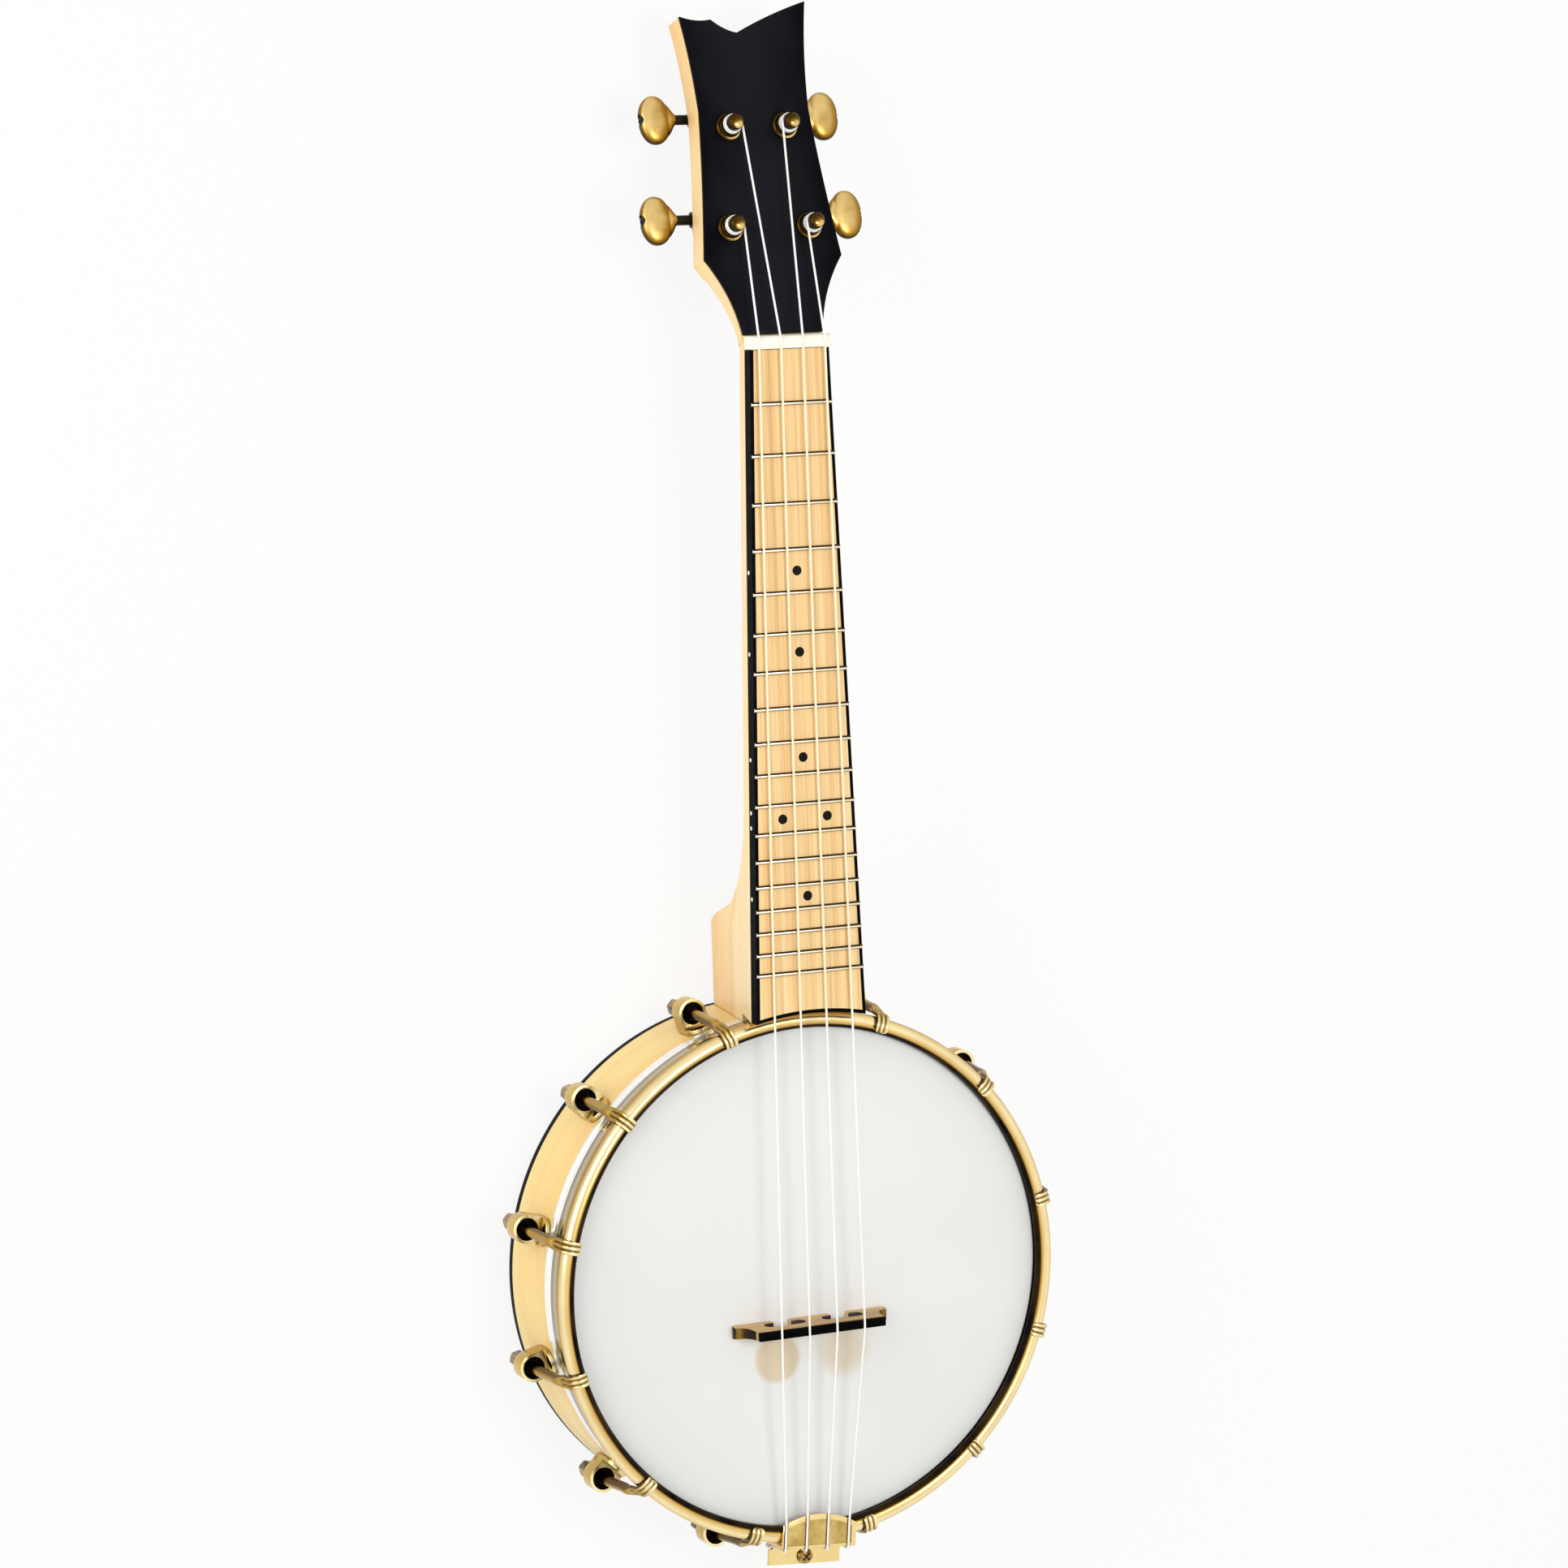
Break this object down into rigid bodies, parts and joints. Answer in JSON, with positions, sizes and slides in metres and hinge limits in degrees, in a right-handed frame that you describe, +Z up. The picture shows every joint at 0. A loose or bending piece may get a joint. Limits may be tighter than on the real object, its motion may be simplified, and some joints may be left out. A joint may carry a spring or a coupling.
{
  "type": "banjo ukulele",
  "caption": "Open-backed banjo ukulele with a round maple pot, white head, brass hoop and hooks, fretted neck, geared tuners, bridge, tailpiece and nylon strings; played by plucking.",
  "frame": {"origin": "under the middle of the overall box, on the plane of the rim's back edge", "axes": "+Y runs along the neck towards the headstock, +Z points up out of the drum head, +X is the treble side"},
  "size_m": [0.23, 0.628, 0.077],
  "materials": {
    "maple": "clear satin lacquer",
    "fingerboard_maple": "clear satin lacquer",
    "black_binding": "gloss",
    "black_wood": "satin",
    "bridge_wood": "plain",
    "head_film": "translucent, lightly frosted",
    "pad": "soft foam",
    "brass": "polished with antique shading",
    "bright_metal": "bright satin",
    "steel": "brushed",
    "dark_steel": "blackened",
    "bone": "satin",
    "nylon": "smooth"
  },
  "bodies": {
    "instrument": {"rim_shell": "maple", "rim_back_binding": "black_binding", "drum_head": "head_film", "head_pad_left": "pad", "head_pad_right": "pad", "flesh_hoop": "bright_metal", "tension_hoop": "brass", "bracket_shoe_01": "brass", "bracket_shoe_02": "brass", "bracket_shoe_03": "brass", "bracket_shoe_04": "brass", "bracket_shoe_05": "brass", "bracket_shoe_06": "brass", "bracket_shoe_07": "brass", "bracket_shoe_08": "brass", "bracket_shoe_09": "brass", "bracket_shoe_10": "brass", "bracket_shoe_11": "brass", "bracket_shoe_12": "brass", "bracket_hook_01": "brass", "bracket_hook_02": "brass", "bracket_hook_03": "brass", "bracket_hook_04": "brass", "bracket_hook_05": "brass", "bracket_hook_06": "brass", "bracket_hook_07": "brass", "bracket_hook_08": "brass", "bracket_hook_09": "brass", "bracket_hook_10": "brass", "bracket_hook_11": "brass", "bracket_hook_12": "brass", "coordinator_rod": "steel", "coordinator_nut": "steel", "tail_bolt": "brass", "neck": "maple", "fingerboard": "fingerboard_maple", "fingerboard_binding": "black_binding", "string_nut": "bone", "headstock_veneer": "black_binding", "tuner_body_1": "brass", "tuner_body_2": "brass", "tuner_body_3": "brass", "tuner_body_4": "brass", "bridge_body": "bridge_wood", "bridge_cap": "black_wood", "tailpiece": "brass", "tailpiece_screw": "dark_steel", "tailpiece_bracket": "brass", "string_1": "nylon", "string_2": "nylon", "string_3": "nylon", "string_4": "nylon"},
    "button_1": {"tuner_button_1": "brass"},
    "post_1": {"tuner_post_1": "brass"},
    "button_2": {"tuner_button_2": "brass"},
    "post_2": {"tuner_post_2": "brass"},
    "button_3": {"tuner_button_3": "brass"},
    "post_3": {"tuner_post_3": "brass"},
    "button_4": {"tuner_button_4": "brass"},
    "post_4": {"tuner_post_4": "brass"}
  },
  "joints": [
    {"name": "button_spin_1", "type": "hinge", "parent": "instrument", "child": "button_1", "pos_m": [-0.04132, 0.22945, 0.04082], "axis": [-1, 0, 0], "continuous": true},
    {"name": "post_spin_1", "type": "hinge", "parent": "instrument", "child": "post_1", "pos_m": [-0.01722, 0.22585, 0.0583], "axis": [0, 0.2407, 0.9706], "continuous": true},
    {"name": "button_spin_2", "type": "hinge", "parent": "instrument", "child": "button_2", "pos_m": [-0.03652, 0.26866, 0.03109], "axis": [-1, 0, 0], "continuous": true},
    {"name": "post_spin_2", "type": "hinge", "parent": "instrument", "child": "post_2", "pos_m": [-0.01242, 0.26506, 0.04857], "axis": [0, 0.2407, 0.9706], "continuous": true},
    {"name": "button_spin_3", "type": "hinge", "parent": "instrument", "child": "button_3", "pos_m": [0.03568, 0.26866, 0.03109], "axis": [1, 0, 0], "continuous": true},
    {"name": "post_spin_3", "type": "hinge", "parent": "instrument", "child": "post_3", "pos_m": [0.01158, 0.26506, 0.04857], "axis": [0, 0.2407, 0.9706], "continuous": true},
    {"name": "button_spin_4", "type": "hinge", "parent": "instrument", "child": "button_4", "pos_m": [0.04048, 0.22945, 0.04082], "axis": [1, 0, 0], "continuous": true},
    {"name": "post_spin_4", "type": "hinge", "parent": "instrument", "child": "post_4", "pos_m": [0.01638, 0.22585, 0.0583], "axis": [0, 0.2407, 0.9706], "continuous": true}
  ],
  "couplings": [
    {"joint": "post_spin_1", "follows": "button_spin_1", "ratio": 0.0625},
    {"joint": "post_spin_2", "follows": "button_spin_2", "ratio": 0.0625},
    {"joint": "post_spin_3", "follows": "button_spin_3", "ratio": 0.0625},
    {"joint": "post_spin_4", "follows": "button_spin_4", "ratio": 0.0625}
  ]
}
